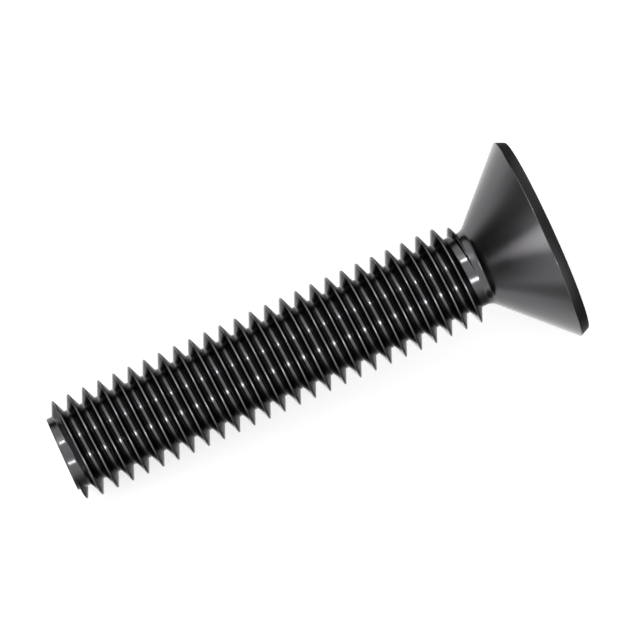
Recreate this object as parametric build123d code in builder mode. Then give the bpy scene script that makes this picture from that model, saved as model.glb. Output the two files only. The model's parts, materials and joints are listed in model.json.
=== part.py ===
from build123d import *
import os
from math import atan2, ceil, cos, degrees, floor, radians, sin, sqrt, tan

# M8 x 40 countersunk screw with a hexagon socket: one piece of steel, cold headed,
# with a rolled thread.  Sizes are in millimetres and angles in degrees.
#
# The screw lies on its side, on the widest edge of its head and on the last full
# crest of its thread.  Distances along it run from the flat face of the head to the
# tip, and directions round it are turned about that axis from the lying screw's top.

# Shank and thread
overall_length = 40.0
thread_diameter = 7.96
thread_pitch = 1.25
thread_depth = 1.05
crest_width = 0.09
root_width = 0.27

# The thread dies out beside the neck, and starts just short of a plain collar at the tip
neck_length = 0.25
run_out_arc = 188.0
run_out_direction = 307.0
lead_in_inset = 0.15
lead_in_arc = 73.0
tip_collar = 0.2

# Head
head_diameter = 16.0
rim_height = 0.78
rim_taper = 0.36
seat_angle = 90.0
neck_fillet_radius = 0.9

# Hexagon socket, with its bevelled mouth and the cone that its drill leaves
socket_across_flats = 5.0
socket_depth = 3.0
mouth_margin = 0.11
mouth_angle = 120.0
drill_point_angle = 120.0

# The thread's ridge starts below the surface of the core, which it is fused with
ridge_root_depth = 0.15
angle_step = 7.5

# Worked out from the sizes above
thread_radius = thread_diameter / 2
core_radius = thread_radius - thread_depth
head_radius = head_diameter / 2
face_radius = head_radius - rim_taper
seat_slope = tan(radians(seat_angle / 2))
neck_start = rim_height + (head_radius - core_radius) / seat_slope
run_out_end = neck_start + neck_length
ridge_height = thread_depth + ridge_root_depth
ridge_root_radius = core_radius - ridge_root_depth
flank_run = (thread_pitch - root_width - crest_width) / 2
ridge_half_width = crest_width / 2 + flank_run * ridge_height / thread_depth
thread_turns = (overall_length - lead_in_inset - run_out_end) / thread_pitch
run_out_turns = run_out_arc / 360
lead_in_turns = lead_in_arc / 360
last_full_turn = thread_turns - lead_in_turns
socket_radius = socket_across_flats / 2
mouth_radius = socket_across_flats / sqrt(3) + mouth_margin

# The last full crest to cross the underside carries the thread's end of the screw
underside_turn = (180 - run_out_direction) / 360
last_crest_turn = underside_turn + floor(last_full_turn - underside_turn)
last_crest = run_out_end + thread_pitch * last_crest_turn
lie_angle = degrees(atan2(head_radius - thread_radius, last_crest - rim_height))

# The floor is at height 0, and the origin is on it under the middle of the screw
lean = radians(lie_angle)
axis_direction = Vector(-cos(lean), 0, -sin(lean))
upward = Vector(-sin(lean), 0, cos(lean))
face_height = head_radius * cos(lean) + rim_height * sin(lean)
head_reach = face_radius * sin(lean)
tip_reach = overall_length * cos(lean) + core_radius * sin(lean)
axis_plane = Plane(
    origin=((tip_reach - head_reach) / 2, 0, face_height), x_dir=upward, z_dir=axis_direction
)
section_plane = Plane(origin=axis_plane.origin, x_dir=upward, z_dir=-axis_plane.y_dir)
screw_axis = Axis(axis_plane.origin, axis_direction)


def ridge_section(turns):
    """The ridge's four corners a number of turns from where it dies out at the neck.

    They are the foot and the crest edge on the head's side, then the crest edge and
    the foot on the tip's side.  The section shrinks evenly to nothing at both ends.
    """
    share = min(1.0, turns / run_out_turns, (thread_turns - turns) / lead_in_turns)
    angle = radians(run_out_direction + 360 * turns)
    centre = run_out_end + thread_pitch * turns
    foot = share * ridge_half_width
    crest = share * crest_width / 2
    crest_radius = ridge_root_radius + share * ridge_height
    return [
        axis_plane.from_local_coords(Vector(radius * cos(angle), radius * sin(angle), centre + offset))
        for radius, offset in (
            (ridge_root_radius, -foot),
            (crest_radius, -crest),
            (crest_radius, crest),
            (ridge_root_radius, foot),
        )
    ]


def ridge_skin(first, last):
    """The four faces of one stretch of the ridge, ruled between the lines of its corners."""
    steps = max(2, round((last - first) * 360 / angle_step))
    sections = [ridge_section(first + (last - first) * i / steps) for i in range(steps + 1)]
    lines = [Edge.make_spline(list(corners)) for corners in zip(*sections)]
    return [Face.make_surface_from_curves(lines[i - 1], lines[i]) for i in range(4)]


def ridge_end(turns):
    """The flat face that closes the ridge at a number of turns."""
    return Face(Wire.make_polygon(ridge_section(turns), close=True))


# The ridge's skin is made in stretches, so that no face winds round more than once
hidden_share = ridge_root_depth / ridge_height / 2
full_turns = last_full_turn - run_out_turns
stretches = ceil(full_turns)
stops = [run_out_turns + full_turns * i / stretches for i in range(stretches + 1)]
stops.insert(0, hidden_share * run_out_turns)
stops.append(thread_turns - hidden_share * lead_in_turns)
skin = [face for first, last in zip(stops, stops[1:]) for face in ridge_skin(first, last)]
ridge = Solid(Shell(skin + [ridge_end(stops[0]), ridge_end(stops[-1])]))

# The tip's collar is clear of the thread
collar_plane = axis_plane.offset(overall_length - tip_collar)
ridge = ridge.split(collar_plane, keep=Keep.BOTTOM)

with BuildPart() as screw:
    # Head, neck and core, turned about the screw's axis
    with BuildSketch(section_plane):
        with BuildLine():
            Polyline(
                (0, 0),
                (face_radius, 0),
                (head_radius, rim_height),
                (core_radius, neck_start),
                (core_radius, overall_length),
                (0, overall_length),
                close=True,
            )
        make_face()
        fillet(vertices().sort_by_distance((core_radius, neck_start))[0], neck_fillet_radius)
    revolve(axis=screw_axis)

    # Thread
    add(ridge)

    # Hexagon socket: its six flats, then the drill's cone below them and the bevelled mouth
    with BuildSketch(axis_plane):
        RegularPolygon(socket_radius, 6, major_radius=False)
    extrude(amount=socket_depth, mode=Mode.SUBTRACT)
    with BuildSketch(section_plane):
        with BuildLine():
            drill_point = socket_radius / tan(radians(drill_point_angle / 2))
            Polyline(
                (0, socket_depth - drill_point),
                (socket_radius, socket_depth),
                (0, socket_depth + drill_point),
                close=True,
            )
        make_face()
        with BuildLine():
            mouth_depth = mouth_radius / tan(radians(mouth_angle / 2))
            Polyline((0, 0), (mouth_radius, 0), (0, mouth_depth), close=True)
        make_face()
    revolve(axis=screw_axis, mode=Mode.SUBTRACT)

os.makedirs("parts", exist_ok=True)
screw.part.label = "screw"
export_step(screw.part, "parts/screw.step")
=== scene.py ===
"""Looks of a countersunk socket screw, M8 x 40, in black-oxide steel, lying on its side.

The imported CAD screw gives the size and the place.  The script makes the same screw as
one fine closed skin with rounded edges, finishes it, and lights it in a plain studio.
Lengths are in millimetres and angles in degrees, unless a name or a docstring says so.
Along the screw, distances run from the flat face of the head to the tip.
"""

from __future__ import annotations

import json
import logging
import math
from dataclasses import dataclass
from enum import Enum
from typing import Any

import bmesh
import bpy
from bmesh.types import BMesh, BMFace, BMVert
from mathutils import Matrix, Vector

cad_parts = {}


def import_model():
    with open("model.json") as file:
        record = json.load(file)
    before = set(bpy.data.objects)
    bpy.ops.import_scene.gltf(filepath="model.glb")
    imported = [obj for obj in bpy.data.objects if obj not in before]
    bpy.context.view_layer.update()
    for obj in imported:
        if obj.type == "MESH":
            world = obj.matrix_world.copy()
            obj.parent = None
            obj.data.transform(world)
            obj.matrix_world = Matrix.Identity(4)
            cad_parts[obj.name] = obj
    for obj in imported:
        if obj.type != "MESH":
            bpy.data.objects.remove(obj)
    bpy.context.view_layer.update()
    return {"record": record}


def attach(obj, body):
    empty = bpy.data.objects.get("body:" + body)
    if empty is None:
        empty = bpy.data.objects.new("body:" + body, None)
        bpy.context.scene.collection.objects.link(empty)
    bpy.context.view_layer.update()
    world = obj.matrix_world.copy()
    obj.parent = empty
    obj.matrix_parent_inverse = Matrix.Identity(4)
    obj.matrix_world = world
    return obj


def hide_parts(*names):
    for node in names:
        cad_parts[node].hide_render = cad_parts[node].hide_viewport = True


MM = 0.001
NODE = "screw"
BODY = "root"
SOCKET_MOUNT = "hexagon_socket"

# How finely round things are made: steps in a full turn, and segments in a rounded edge
ROUND_STEPS = 120
EDGE_SEGMENTS = 4
NECK_SEGMENTS = 12

# Points that are nearer to each other than this are one point
WELD = 2e-4

log = logging.getLogger("screw")


# ---------------------------------------------------------------------------
# Small helpers
# ---------------------------------------------------------------------------


def linear(hex_colour: str) -> tuple[float, float, float, float]:
    """Turns an sRGB hex colour into the linear colour that a shader socket takes.

    Args:
        hex_colour: a colour such as "#3a3a3c".

    Returns:
        Red, green, blue and an alpha of 1, by the curve of the sRGB standard.
    """
    channels = (int(hex_colour[i : i + 2], 16) / 255 for i in (1, 3, 5))
    parts = (c / 12.92 if c <= 0.04045 else ((c + 0.055) / 1.055) ** 2.4 for c in channels)
    return (*parts, 1.0)


def add_node(
    tree: bpy.types.NodeTree, kind: str, inputs: dict[Any, Any], **settings: Any
) -> bpy.types.Node:
    """Adds a shader node with its settings, values and links.

    Args:
        tree: the node tree that gets it.
        kind: the node's type name, such as "ShaderNodeTexNoise".
        inputs: a value, or another node's output socket, for each named or numbered input.
        settings: attributes of the node itself.

    Returns:
        The new node.
    """
    node = tree.nodes.new(kind)
    for name, value in settings.items():
        setattr(node, name, value)
    for name, value in inputs.items():
        if isinstance(value, bpy.types.NodeSocket):
            tree.links.new(value, node.inputs[name])
        else:
            node.inputs[name].default_value = value
    return node


def turned(angle: float) -> Vector:
    """The unit direction at an angle round the axis, in radians."""
    return Vector((math.cos(angle), math.sin(angle), 0.0))


@dataclass(frozen=True)
class Corner:
    """One corner of a turned outline: its radius, its place along the axis and its rounding."""

    radius: float
    along: float
    rounding: float = 0.0
    segments: int = EDGE_SEGMENTS


def draw_outline(bm: BMesh, shape: list[Corner]) -> list[BMVert]:
    """Draws an outline in the plane of the axis and rounds its corners.

    Args:
        bm: the mesh that gets the outline.
        shape: the outline's corners, in order.

    Returns:
        The outline's points, in order from the first corner.
    """
    points = [bm.verts.new((c.radius, 0.0, c.along)) for c in shape]
    for first, second in zip(points, points[1:]):
        bm.edges.new((first, second))
    start = points[0]
    for corner, point in zip(shape, points):
        if corner.rounding:
            bmesh.ops.bevel(
                bm,
                geom=[point],
                offset=corner.rounding,
                segments=corner.segments,
                profile=0.5,
                affect="VERTICES",
                material=-1,
                clamp_overlap=False,
            )
    # The roundings leave new points, so the outline is walked along its edges again
    ordered = [start]
    while True:
        ahead = [e.other_vert(ordered[-1]) for e in ordered[-1].link_edges]
        ahead = [v for v in ahead if v not in ordered[-2:]]
        if not ahead:
            return ordered
        ordered.append(ahead[0])


def spin_round(bm: BMesh, outline: list[BMVert]) -> None:
    """Spins an outline once round the axis and closes its seam.

    Args:
        bm: the mesh that the outline is in.
        outline: the outline's points.
    """
    edges = dict.fromkeys(e for v in outline for e in v.link_edges)
    bmesh.ops.spin(
        bm,
        geom=[*outline, *edges],
        cent=(0.0, 0.0, 0.0),
        axis=(0.0, 0.0, 1.0),
        angle=2 * math.pi,
        steps=ROUND_STEPS,
        use_merge=True,
    )


# ---------------------------------------------------------------------------
# The finishes
# ---------------------------------------------------------------------------


@dataclass(frozen=True)
class BlackOxideSteel:
    """Cold-headed steel with a black-oxide finish under a trace of oil.

    The oxide makes the metal nearly black where it faces the eye, and the oil leaves a
    soft gloss that turns bright at a glancing angle.  The oil lies in faint clouds, which
    change the tone and the gloss a little.  The oxide's real grain, of some hundredths of
    a millimetre, is too fine to show, so it is drawn several times as coarse.
    """

    name: str
    colour: str
    worn_colour: str
    roughness: float
    roughness_spread: float = 0.05
    cloud_size: float = 2.5
    grain_size: float = 0.12
    grain_depth: float = 0.0012

    def material(self) -> bpy.types.Material:
        """Makes the material.

        Returns:
            A node material that reads the object's own coordinates.
        """
        material = bpy.data.materials.new(self.name)
        material.use_nodes = True
        tree = material.node_tree
        tree.nodes.clear()
        place = add_node(tree, "ShaderNodeTexCoord", {}).outputs["Object"]
        cloud_scale = 1 / (self.cloud_size * MM)
        cloud = add_node(
            tree,
            "ShaderNodeTexNoise",
            {"Vector": place, "Scale": cloud_scale, "Detail": 3.0, "Roughness": 0.55},
        ).outputs["Fac"]
        grain = add_node(
            tree,
            "ShaderNodeTexNoise",
            {"Vector": place, "Scale": 1 / (self.grain_size * MM), "Detail": 2.0},
        ).outputs["Fac"]
        tone = add_node(
            tree,
            "ShaderNodeMix",
            {0: cloud, 6: linear(self.colour), 7: linear(self.worn_colour)},
            data_type="RGBA",
        )
        # Nearly all of the noise lies between 0.3 and 0.7
        dullness = add_node(
            tree,
            "ShaderNodeMapRange",
            {
                "Value": cloud,
                "From Min": 0.3,
                "From Max": 0.7,
                "To Min": self.roughness - self.roughness_spread / 2,
                "To Max": self.roughness + self.roughness_spread / 2,
            },
        ).outputs["Result"]
        bump = add_node(
            tree,
            "ShaderNodeBump",
            {"Height": grain, "Distance": self.grain_depth * MM, "Strength": 1.0},
        ).outputs["Normal"]
        shader = add_node(
            tree,
            "ShaderNodeBsdfPrincipled",
            {
                "Base Color": tone.outputs[2],
                "Metallic": 1.0,
                "Roughness": dullness,
                "Normal": bump,
            },
        )
        add_node(tree, "ShaderNodeOutputMaterial", {"Surface": shader.outputs["BSDF"]})
        return material


class Finish(Enum):
    """The finishes of the one piece of steel, in the order of its material slots."""

    STEEL = BlackOxideSteel("black_oxide_steel", "#5b5a5c", "#616062", roughness=0.15)
    # The rolled rim's band is duller than the rest and a little lighter, so it shows an
    # even dark grey with no streaks
    RIM = BlackOxideSteel("black_oxide_rolled_rim", "#605f61", "#656466", roughness=0.42)
    # The rolls leave the crests duller, and their colour is made lighter as a painted highlight,
    # which shows a soft light line along each crest that has no glints
    CREST_PAINTED_HIGHLIGHT = BlackOxideSteel("black_oxide_crest_painted_highlight", "#6a696b", "#727173", roughness=0.28)

    @property
    def slot(self) -> int:
        """The number of its material slot."""
        return list(Finish).index(self)


@dataclass(frozen=True)
class WhiteSweep:
    """The plain pale floor: matt white card that takes the screw's shadow.

    It is white all over but for a soft shadow.  The lift is the light of its own that it
    shows to the camera alone, so that it lights nothing.
    """

    colour: str = "#f2f2f2"
    lift: float = 0.52

    def material(self) -> bpy.types.Material:
        """Makes the floor's material.

        Returns:
            A node material that is matt, with no gloss at all.
        """
        material = bpy.data.materials.new("matt_white_card")
        material.use_nodes = True
        tree = material.node_tree
        tree.nodes.clear()
        rays = add_node(tree, "ShaderNodeLightPath", {})
        lift = add_node(
            tree,
            "ShaderNodeMath",
            {0: rays.outputs["Is Camera Ray"], 1: self.lift},
            operation="MULTIPLY",
        ).outputs[0]
        shader = add_node(
            tree,
            "ShaderNodeBsdfPrincipled",
            {
                "Base Color": linear(self.colour),
                "Roughness": 1.0,
                "Specular IOR Level": 0.0,
                "Emission Color": (1.0, 1.0, 1.0, 1.0),
                "Emission Strength": lift,
            },
        )
        add_node(tree, "ShaderNodeOutputMaterial", {"Surface": shader.outputs["BSDF"]})
        return material


# ---------------------------------------------------------------------------
# The screw
# ---------------------------------------------------------------------------


@dataclass(frozen=True)
class Thread:
    """The rolled thread: its form, and how it starts and dies out.

    Its ridge shrinks to nothing over the run-out's arc, which ends beside the neck, and
    over the lead-in's arc, which ends beside the tip's collar.  The run-out's direction is
    the way it ends round the axis, turned from the lying screw's top.  The hidden depth is
    how far the shrunken ridge's foot lies under the core's surface, and the flank bands are
    the strips that each flank is divided into.
    """

    diameter: float = 7.958
    pitch: float = 1.25
    depth: float = 1.049
    crest_width: float = 0.12
    root_width: float = 0.24
    crest_rounding: float = 0.03
    root_rounding: float = 0.03
    hidden_depth: float = 0.15
    run_out_end: float = 6.1
    run_out_arc: float = 188.0
    run_out_direction: float = 307.0
    lead_in_end: float = 39.85
    lead_in_arc: float = 73.0
    flank_bands: int = 3

    @property
    def crest_radius(self) -> float:
        """The radius of the crest."""
        return self.diameter / 2

    @property
    def core_radius(self) -> float:
        """The radius of the core between the threads."""
        return self.crest_radius - self.depth

    @property
    def flank_run(self) -> float:
        """How far a flank reaches along the axis."""
        return (self.pitch - self.crest_width - self.root_width) / 2

    def is_crest(self, face: BMFace) -> bool:
        """Whether a face lies on the crest, well past the neck."""
        middle = face.calc_center_median()
        on_crest = middle.xy.length > self.crest_radius - self.crest_rounding
        return on_crest and middle.z > self.run_out_end

    def share(self, turns: float) -> float:
        """How much of its full section the thread has at one place along it.

        Args:
            turns: how many turns that is from where it dies out at the neck.

        Returns:
            The share, from 0 to 1.
        """
        all_turns = (self.lead_in_end - self.run_out_end) / self.pitch
        run_out = turns * 360 / self.run_out_arc
        lead_in = (all_turns - turns) * 360 / self.lead_in_arc
        return max(0.0, min(1.0, run_out, lead_in))

    def shrink(self, radius: float, offset: float, share: float) -> tuple[float, float]:
        """Moves a point of the full section to its place in a shrunken one.

        Args:
            radius: the point's radius in the full section.
            offset: its distance along the axis from the section's middle.
            share: how much of the full section is left, from 0 to 1.

        Returns:
            The point's new radius and offset.
        """
        if abs(offset) > self.pitch / 2 - WELD:
            return self.core_radius, offset
        height = share * (self.depth + self.hidden_depth) - self.hidden_depth
        if height <= 0.0:
            return self.core_radius, 0.0
        slope = self.flank_run / self.depth
        side = math.copysign(1.0, offset)
        sharp = self.crest_width / 2 + (self.crest_radius - radius) * slope
        rise = (radius - self.core_radius) / self.depth * height
        flank = share * self.crest_width / 2 + (height - rise) * slope
        return self.core_radius + rise, side * (flank + share * (abs(offset) - sharp))

    def draw_section(self, bm: BMesh) -> None:
        """Draws the full section, from the middle of one root to the middle of the next.

        Args:
            bm: the empty mesh that gets it.
        """
        crest = self.crest_width / 2
        foot = crest + self.flank_run
        outline = draw_outline(
            bm,
            [
                Corner(self.core_radius, -self.pitch / 2),
                Corner(self.core_radius, -foot, self.root_rounding),
                Corner(self.crest_radius, -crest, self.crest_rounding),
                Corner(self.crest_radius, crest, self.crest_rounding),
                Corner(self.core_radius, foot, self.root_rounding),
                Corner(self.core_radius, self.pitch / 2),
            ],
        )
        edges = dict.fromkeys(e for v in outline for e in v.link_edges)
        flanks = [e for e in edges if e.calc_length() > self.depth / 2]
        bmesh.ops.subdivide_edges(bm, edges=flanks, cuts=self.flank_bands - 1)

    def build(self, bm: BMesh, first: float, last: float) -> None:
        """Spins one turn of the full thread, and lays copies of it along the shank.

        Each point of a copy goes to its place in the real thread, whose section shrinks
        at both ends.  What would reach past the ends is folded flat into their planes.

        Args:
            bm: the empty mesh that gets the thread.
            first: where the thread's skin meets the neck.
            last: where it meets the tip's collar.
        """
        self.draw_section(bm)
        layer = bm.verts.layers.int.new("section_point")
        section = []
        for point in bm.verts:
            point[layer] = len(section)
            section.append((point.co.x, point.co.z))
        bmesh.ops.spin(
            bm,
            geom=[*bm.verts, *bm.edges],
            cent=(0.0, 0.0, 0.0),
            axis=(0.0, 0.0, 1.0),
            dvec=(0.0, 0.0, self.pitch / ROUND_STEPS),
            angle=2 * math.pi,
            steps=ROUND_STEPS,
        )
        pattern = list(bm.verts)
        one_turn = [*bm.verts, *bm.edges, *bm.faces]
        start = self.run_out_end - self.pitch * self.run_out_direction / 360
        for turn in range(math.ceil((last - start) / self.pitch) + 1):
            copy = bmesh.ops.duplicate(bm, geom=one_turn)["geom"]
            for vert in (v for v in copy if isinstance(v, BMVert)):
                radius, offset = section[vert[layer]]
                step = round((vert.co.z - offset) / self.pitch * ROUND_STEPS)
                turns = turn + step / ROUND_STEPS
                share = self.share(turns - self.run_out_direction / 360)
                radius, offset = self.shrink(radius, offset, share)
                vert.co = turned(2 * math.pi * turns) * radius
                vert.co.z = min(max(start + self.pitch * turns + offset, first), last)
        bmesh.ops.delete(bm, geom=pattern, context="VERTS")


@dataclass(frozen=True)
class Head:
    """The countersunk head, its hexagon socket and the rounded neck below it.

    The mouth margin is how far the bevelled mouth reaches past the hexagon's corners.
    The wall gap sets the hexagon's wall, while it is still round, off the drill's cone.
    """

    diameter: float = 16.0
    rim_height: float = 0.78
    rim_taper: float = 0.36
    rim_rounding: float = 0.05
    seat_angle: float = 90.0
    neck_fillet: float = 0.9
    across_flats: float = 5.0
    socket_depth: float = 3.0
    mouth_margin: float = 0.11
    mouth_angle: float = 120.0
    drill_angle: float = 120.0
    wall_gap: float = 1e-3

    @property
    def face_radius(self) -> float:
        """The radius of the flat face."""
        return self.diameter / 2 - self.rim_taper

    @property
    def mouth_radius(self) -> float:
        """The radius of the bevelled mouth in the flat face."""
        return self.across_flats / math.sqrt(3) + self.mouth_margin

    @property
    def neck_reach(self) -> float:
        """How far the neck's rounding reaches from where seat and core would meet."""
        return self.neck_fillet * math.tan(math.radians(self.seat_angle / 4))

    def neck_start(self, core_radius: float) -> float:
        """Where the seat's cone would meet the core."""
        slope = math.tan(math.radians(self.seat_angle / 2))
        return self.rim_height + (self.diameter / 2 - core_radius) / slope

    def neck_end(self, core_radius: float) -> float:
        """Where the neck's rounding runs out into the core."""
        return self.neck_start(core_radius) + self.neck_reach

    def mouth_depth(self, radius: float) -> float:
        """How deep the mouth's bevel is at a radius."""
        return (self.mouth_radius - radius) / math.tan(math.radians(self.mouth_angle / 2))

    def is_rim(self, face: BMFace) -> bool:
        """Whether a face is in the rim's band, between its rounded edges."""
        middle = face.calc_center_median()
        inside = self.rim_rounding < middle.z < self.rim_height - self.rim_rounding
        return inside and middle.xy.length > self.face_radius

    def build(self, bm: BMesh, core_radius: float) -> None:
        """Turns the head with a round socket, and pushes the socket's wall out to its flats.

        Rings close to the rounded edges hold the flat faces flat in the smooth shading.

        Args:
            bm: the empty mesh that gets the head.
            core_radius: the radius of the core that the neck runs into.
        """
        half = self.across_flats / 2
        wall = half + self.wall_gap
        drill_point = half / math.tan(math.radians(self.drill_angle / 2))
        hold = 2 * self.rim_rounding
        # The neck's rounding needs a little more core to end on, which is then taken back
        spare = 0.01
        outline = draw_outline(
            bm,
            [
                Corner(0.0, self.socket_depth + drill_point),
                Corner(hold, self.socket_depth + drill_point * (1 - hold / half)),
                Corner(half, self.socket_depth),
                Corner(wall, self.socket_depth - self.wall_gap),
                Corner(wall, self.mouth_depth(half)),
                Corner(self.mouth_radius, 0.0, self.rim_rounding / 2),
                Corner(self.mouth_radius + hold, 0.0),
                Corner(self.face_radius - hold, 0.0),
                Corner(self.face_radius, 0.0, self.rim_rounding),
                Corner(self.diameter / 2, self.rim_height, self.rim_rounding),
                Corner(core_radius, self.neck_start(core_radius), self.neck_reach, NECK_SEGMENTS),
                Corner(core_radius, self.neck_end(core_radius) + spare),
            ],
        )
        outline[-1].co.z = self.neck_end(core_radius)
        spin_round(bm, outline)
        for vert in bm.verts:
            if abs(vert.co.xy.length - wall) < WELD:
                self.push_to_flat(vert)

    def push_to_flat(self, vert: BMVert) -> None:
        """Pushes a point of the socket's round wall out to its flat of the hexagon.

        Args:
            vert: a point of the wall's upper end, which then follows the mouth's bevel, or
                of its lower end, which stays at the socket's depth.
        """
        side = math.radians(360 / 6)
        angle = math.atan2(vert.co.y, vert.co.x)
        radius = self.across_flats / 2 / math.cos(angle % side - side / 2)
        vert.co.xy = vert.co.xy.normalized() * radius
        upper = vert.co.z < self.socket_depth / 2
        vert.co.z = self.mouth_depth(radius) if upper else self.socket_depth


@dataclass(frozen=True)
class Tip:
    """The plain collar and the flat end of the shank."""

    end: float = 40.0
    collar: float = 0.2
    rounding: float = 0.04

    def build(self, bm: BMesh, core_radius: float) -> None:
        """Turns the collar and the end.

        Args:
            bm: the empty mesh that gets them.
            core_radius: the radius of the core.
        """
        outline = draw_outline(
            bm,
            [
                Corner(core_radius, self.end - self.collar),
                Corner(core_radius, self.end, self.rounding),
                Corner(core_radius - 2 * self.rounding, self.end),
                Corner(0.0, self.end),
            ],
        )
        spin_round(bm, outline)


@dataclass(frozen=True)
class Screw:
    """The whole screw, one piece of steel.

    An edge whose faces meet at more than the sharp angle isn't smoothed over.
    """

    head: Head = Head()
    thread: Thread = Thread()
    tip: Tip = Tip()
    sharp_angle: float = 30.0

    def build(self, placing: Matrix) -> bpy.types.Object:
        """Builds the screw's skin, dresses it and puts it where the CAD screw lies.

        Args:
            placing: turns millimetres along the screw into metres in the frame.

        Returns:
            The finished object, which stands for the CAD screw.
        """
        core = self.thread.core_radius
        ends = (self.head.neck_end(core), self.tip.end - self.tip.collar)
        mesh = bpy.data.meshes.new("screw_skin")
        bm = bmesh.new()
        # Each part is built in an empty bmesh, and the mesh holds those made before it
        self.head.build(bm, core)
        bm.to_mesh(mesh)
        bm.clear()
        self.tip.build(bm, core)
        bm.from_mesh(mesh)
        bm.to_mesh(mesh)
        bm.clear()
        self.thread.build(bm, *ends)
        bm.from_mesh(mesh)
        self.join(bm, ends)
        self.dress(bm)
        bmesh.ops.transform(bm, matrix=placing, verts=bm.verts)
        bm.to_mesh(mesh)
        bm.free()
        for finish in Finish:
            mesh.materials.append(finish.value.material())
        skin = bpy.data.objects.new("screw_skin", mesh)
        bpy.context.scene.collection.objects.link(skin)
        return skin

    def join(self, bm: BMesh, ends: tuple[float, float]) -> None:
        """Welds the parts into one closed skin.

        The thread gets one clean flat face where each of its ends is cut off, in place of
        the folds there.

        Args:
            bm: the mesh that holds all the parts.
            ends: how far along the screw the thread's two ends are.
        """
        bmesh.ops.remove_doubles(bm, verts=bm.verts, dist=WELD)
        folds = [
            f for f in bm.faces for end in ends if all(abs(v.co.z - end) < WELD for v in f.verts)
        ]
        bmesh.ops.delete(bm, geom=folds, context="FACES")
        bmesh.ops.holes_fill(bm, edges=[e for e in bm.edges if e.is_boundary])
        bmesh.ops.dissolve_degenerate(bm, edges=bm.edges, dist=WELD)
        bmesh.ops.recalc_face_normals(bm, faces=bm.faces)

    def dress(self, bm: BMesh) -> None:
        """Smooths the skin up to its sharp edges and gives each face its finish.

        Args:
            bm: the closed skin, still in millimetres along the screw.
        """
        for face in bm.faces:
            face.smooth = True
            if self.head.is_rim(face):
                face.material_index = Finish.RIM.slot
            # Crest faces get the duller gloss and the lighter colour that paints a highlight line
            # on them
            elif self.thread.is_crest(face):
                face.material_index = Finish.CREST_PAINTED_HIGHLIGHT.slot
        for edge in bm.edges:
            if edge.is_manifold and edge.calc_face_angle() > math.radians(self.sharp_angle):
                edge.smooth = False


def lying_screw(record: dict[str, Any]) -> Matrix:
    """Reads how the CAD screw lies from its socket's mount.

    Args:
        record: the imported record, whose mounts give places and directions in metres.

    Returns:
        The placing of a point in millimetres, with z along the screw and x upward.
    """
    socket = next(m for m in record["mounts"] if m["name"] == SOCKET_MOUNT)
    along = -Vector(socket["axis"]).normalized()
    side = Vector((0.0, 1.0, 0.0))
    upward = side.cross(along).normalized()
    turn = Matrix((upward, side, along)).transposed().to_4x4()
    return Matrix.Translation(socket["pos_m"]) @ turn @ Matrix.Scale(MM, 4)


# ---------------------------------------------------------------------------
# The studio
# ---------------------------------------------------------------------------


def direction(azimuth: float, elevation: float) -> Vector:
    """The unit direction from the screw, by azimuth from the front to the right, and elevation."""
    a, e = math.radians(azimuth), math.radians(elevation)
    return Vector((math.sin(a) * math.cos(e), -math.cos(a) * math.cos(e), math.sin(e)))


def facing(azimuth: float, elevation: float) -> Matrix:
    """Turns a camera or a lamp, which look along their own -z, towards the screw.

    Args:
        azimuth: where it stands, from the front towards the right.
        elevation: how high it stands over the floor.

    Returns:
        The turn, with x to the right and y upward.
    """
    back = direction(azimuth, elevation)
    right = Vector((0.0, 0.0, 1.0)).cross(back).normalized()
    return Matrix((right, back.cross(right), back)).transposed().to_4x4()


@dataclass(frozen=True)
class Camera:
    """A long lens that looks down on the lying screw.

    The aim is how far the middle of its view is to the right of and above the screw's.
    """

    azimuth: float = -23.77
    elevation: float = 69.95
    distance: float = 449.0
    lens: float = 336.1
    sensor: float = 36.0
    aim_right: float = 1.145
    aim_up: float = 1.86
    nearest: float = 10.0
    farthest: float = 10000.0

    def build(self, middle: Vector) -> None:
        """Adds the camera.

        Args:
            middle: the middle of the screw's axis, in metres.
        """
        data = bpy.data.cameras.new("camera")
        data.lens = self.lens
        data.sensor_width = self.sensor
        data.clip_start = self.nearest * MM
        data.clip_end = self.farthest * MM
        camera = bpy.data.objects.new("camera", data)
        turn = facing(self.azimuth, self.elevation)
        place = Matrix.Translation(Vector((self.aim_right, self.aim_up, self.distance)) * MM)
        camera.matrix_world = Matrix.Translation(middle) @ turn @ place
        bpy.context.scene.collection.objects.link(camera)
        bpy.context.scene.camera = camera


@dataclass(frozen=True)
class SpotLamp:
    """A small square lamp, which draws a row of glints along the thread.

    The half angle is the one from its middle to its sides, as seen from the screw, and its
    radiance is how bright it looks from there, where the white room is 1.
    """

    name: str
    azimuth: float
    elevation: float
    radiance: float
    half_angle: float = 3.0
    distance: float = 900.0

    def build(self) -> None:
        """Adds the lamp, aimed at the screw.  The camera doesn't see it."""
        side = 2 * self.distance * MM * math.tan(math.radians(self.half_angle))
        data = bpy.data.lights.new(self.name, "AREA")
        data.shape = "RECTANGLE"
        data.size = data.size_y = side
        data.energy = self.radiance * math.pi * side * side
        lamp = bpy.data.objects.new(self.name, data)
        place = Matrix.Translation(direction(self.azimuth, self.elevation) * self.distance * MM)
        lamp.matrix_world = place @ facing(self.azimuth, self.elevation)
        lamp.visible_camera = False
        bpy.context.scene.collection.objects.link(lamp)


class Card(Enum):
    """What a round card in the studio does to the light that comes from behind it."""

    BLACK = "takes it away"
    WHITE = "adds to it"


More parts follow.
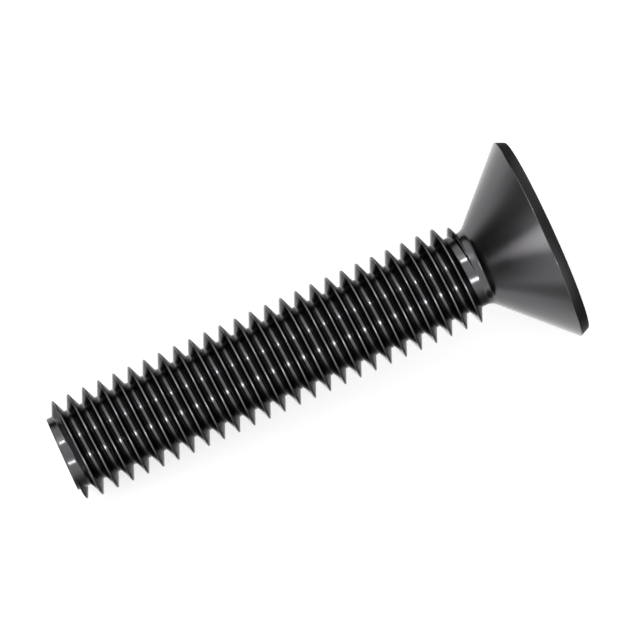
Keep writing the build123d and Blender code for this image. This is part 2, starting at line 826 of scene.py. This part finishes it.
@dataclass(frozen=True)
class SoftCard:
    """A round card with a soft edge, which the metal mirrors among its pale surroundings.

    It has its full strength out to the core's half angle, and none past the edge's.  The
    strength is the share that a black card takes away, or the light that a white one adds.
    """

    name: str
    card: Card
    azimuth: float
    elevation: float
    core: float
    edge: float
    strength: float

    def add(
        self, tree: bpy.types.NodeTree, heading: bpy.types.NodeSocket, light: bpy.types.NodeSocket
    ) -> bpy.types.NodeSocket:
        """Adds the card to the world's nodes.

        Args:
            tree: the world's node tree.
            heading: the direction that a ray leaves in.
            light: the light from there without this card.

        Returns:
            The light from there with it.
        """
        nearness = add_node(
            tree,
            "ShaderNodeVectorMath",
            {0: heading, 1: direction(self.azimuth, self.elevation)},
            operation="DOT_PRODUCT",
            label=self.name,
        ).outputs["Value"]
        black = self.card is Card.BLACK
        own = add_node(
            tree,
            "ShaderNodeMapRange",
            {
                "Value": nearness,
                "From Min": math.cos(math.radians(self.edge)),
                "From Max": math.cos(math.radians(self.core)),
                "To Min": 1.0 if black else 0.0,
                "To Max": 1.0 - self.strength if black else self.strength,
            },
            interpolation_type="SMOOTHSTEP",
        ).outputs["Result"]
        operation = "MULTIPLY" if black else "ADD"
        return add_node(tree, "ShaderNodeMath", {0: light, 1: own}, operation=operation).outputs[0]


@dataclass(frozen=True)
class Studio:
    """The floor, the two small lamps, and the white room with its cards.

    The room's light is nearly 1, a little less above the floor's level than below it, and
    it changes between the two over the blend on each side of level.
    """

    floor_size: float = 4000.0
    above: float = 1.03
    below: float = 1.08
    blend: float = 0.05
    # A card's azimuth, elevation, core, edge and strength
    cards: tuple[SoftCard, ...] = (
        SoftCard("black_low_left", Card.BLACK, -97.7, -24.2, 28.1, 36.1, 0.94),
        SoftCard("black_low_front_left", Card.BLACK, -48.5, -22.2, 4.0, 15.1, 0.65),
        SoftCard("black_low_front_right", Card.BLACK, 40.8, -33.5, 12.0, 62.5, 0.95),
        SoftCard("black_high_right", Card.BLACK, 93.6, 34.5, 23.4, 61.9, 0.92),
        SoftCard("black_right", Card.BLACK, 111.6, -9.4, 49.5, 70.3, 0.98),
        SoftCard("black_back_left", Card.BLACK, -123.4, 16.2, 8.5, 26.3, 0.73),
        SoftCard("black_back", Card.BLACK, -158.8, 20.7, 30.1, 43.3, 0.96),
        SoftCard("black_low_front", Card.BLACK, -26.8, -32.4, 11.7, 23.5, 0.90),
        SoftCard("black_top_right", Card.BLACK, 62.7, 59.9, 7.3, 23.4, 0.59),
        SoftCard("black_left", Card.BLACK, -97.0, -1.0, 5.0, 11.5, 0.60),
        SoftCard("black_under", Card.BLACK, -133.8, -60.3, 5.7, 19.0, 0.79),
        SoftCard("white_top", Card.WHITE, 19.1, 82.2, 4.4, 16.9, 0.15),
        SoftCard("white_low_front_left", Card.WHITE, -40.4, -17.5, 8.1, 11.8, 0.39),
        SoftCard("white_left", Card.WHITE, -82.0, 15.5, 6.5, 15.5, 2.5),
        SoftCard("white_high_back", Card.WHITE, -148.7, 39.6, 19.9, 43.9, 1.06),
        SoftCard("white_high_front", Card.WHITE, 5.2, 40.0, 3.8, 10.6, 4.61),
        SoftCard("white_right", Card.WHITE, 114.0, -3.0, 20.0, 36.0, 0.60),
        SoftCard("white_low_right", Card.WHITE, 97.5, -20.5, 4.9, 24.4, 0.30),
        SoftCard("white_under_right", Card.WHITE, 119.8, -55.3, 4.6, 16.6, 0.21),
    )
    lamps: tuple[SpotLamp, ...] = (
        SpotLamp("spot_back", azimuth=-163.0, elevation=74.0, radiance=20.0),
        SpotLamp("spot_front", azimuth=-3.0, elevation=39.6, radiance=18.0),
    )

    def build(self, sweep: WhiteSweep) -> None:
        """Builds the floor, the lamps and the world.

        Args:
            sweep: the floor's finish.
        """
        self.lay_floor(sweep)
        for lamp in self.lamps:
            lamp.build()
        self.surround()

    def lay_floor(self, sweep: WhiteSweep) -> None:
        """Lays the floor that the screw's shadow falls on.

        Args:
            sweep: the floor's finish.
        """
        bm = bmesh.new()
        bmesh.ops.create_grid(bm, x_segments=1, y_segments=1, size=self.floor_size / 2 * MM)
        mesh = bpy.data.meshes.new("floor")
        bm.to_mesh(mesh)
        bm.free()
        mesh.materials.append(sweep.material())
        floor = bpy.data.objects.new("floor", mesh)
        # The polished screw mirrors the white room below the floor's level too, as over a
        # sheet of clear glass, while the floor still takes its shadow
        floor.visible_glossy = False
        floor.visible_shadow = False
        bpy.context.scene.collection.objects.link(floor)

    def surround(self) -> None:
        """Makes the world: the white room with its cards, and plain white to the camera."""
        world = bpy.data.worlds.new("studio")
        world.use_nodes = True
        tree = world.node_tree
        tree.nodes.clear()
        heading = add_node(tree, "ShaderNodeTexCoord", {}).outputs["Generated"]
        height = add_node(tree, "ShaderNodeSeparateXYZ", {"Vector": heading}).outputs["Z"]
        light = add_node(
            tree,
            "ShaderNodeMapRange",
            {
                "Value": height,
                "From Min": -self.blend,
                "From Max": self.blend,
                "To Min": self.below,
                "To Max": self.above,
            },
        ).outputs["Result"]
        for card in self.cards:
            light = card.add(tree, heading, light)
        rays = add_node(tree, "ShaderNodeLightPath", {})
        strength = add_node(
            tree,
            "ShaderNodeMapRange",
            {"Value": rays.outputs["Is Camera Ray"], "To Min": light, "To Max": 1.0},
        ).outputs["Result"]
        white = add_node(
            tree, "ShaderNodeBackground", {"Color": (1.0, 1.0, 1.0, 1.0), "Strength": strength}
        )
        add_node(tree, "ShaderNodeOutputWorld", {"Surface": white.outputs["Background"]})
        bpy.context.scene.world = world


# ---------------------------------------------------------------------------
# All together
# ---------------------------------------------------------------------------


def report(piece: bpy.types.Object) -> None:
    """Logs how many triangles a piece has, and how many of its edges are open.

    Args:
        piece: a finished mesh object.
    """
    bm = bmesh.new()
    bm.from_mesh(piece.data)
    triangles = sum(len(f.verts) - 2 for f in bm.faces)
    open_edges = sum(1 for e in bm.edges if not e.is_manifold)
    bm.free()
    log.info("%s: %d triangles, %d open edges", piece.name, triangles, open_edges)


def main() -> None:
    """Builds the screw, the studio and the camera."""
    logging.basicConfig(level=logging.INFO, format="%(name)s: %(message)s")
    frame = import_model()
    bpy.context.scene.view_settings.view_transform = "Standard"
    placing = lying_screw(frame["record"])
    screw = Screw()
    skin = screw.build(placing)
    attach(skin, BODY)
    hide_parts(NODE)
    report(skin)
    studio = Studio()
    studio.build(WhiteSweep())
    log.info("studio: %d cards, %d lamps", len(studio.cards), len(studio.lamps))
    Camera().build(placing @ Vector((0.0, 0.0, screw.tip.end / 2)))


if __name__ == "__main__":
    main()
